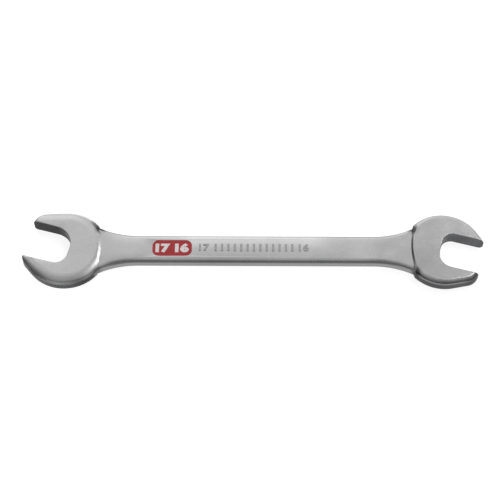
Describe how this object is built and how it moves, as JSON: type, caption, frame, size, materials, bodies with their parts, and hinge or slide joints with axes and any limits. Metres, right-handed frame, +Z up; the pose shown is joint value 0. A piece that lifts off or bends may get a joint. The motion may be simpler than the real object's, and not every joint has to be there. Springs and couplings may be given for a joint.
{
  "type": "open end wrench",
  "caption": "Double open end wrench: a slim forged shank with an open jaw at each end, turned 15 degrees, and a small red enamel badge on its face.",
  "frame": {"origin": "under the middle of the bounding box, on the plane that the wrench lies on", "axes": "+X along the shank to the smaller head, +Z up out of the face with the badge, +Y across the shank"},
  "size_m": [0.1988, 0.0358, 0.007],
  "materials": {
    "chrome_plated_steel": "satin chrome plating on forged steel",
    "red_enamel": "smooth red enamel"
  },
  "bodies": {
    "root": {"forged_wrench": "chrome_plated_steel", "enamel_badge": "red_enamel"}
  },
  "joints": []
}
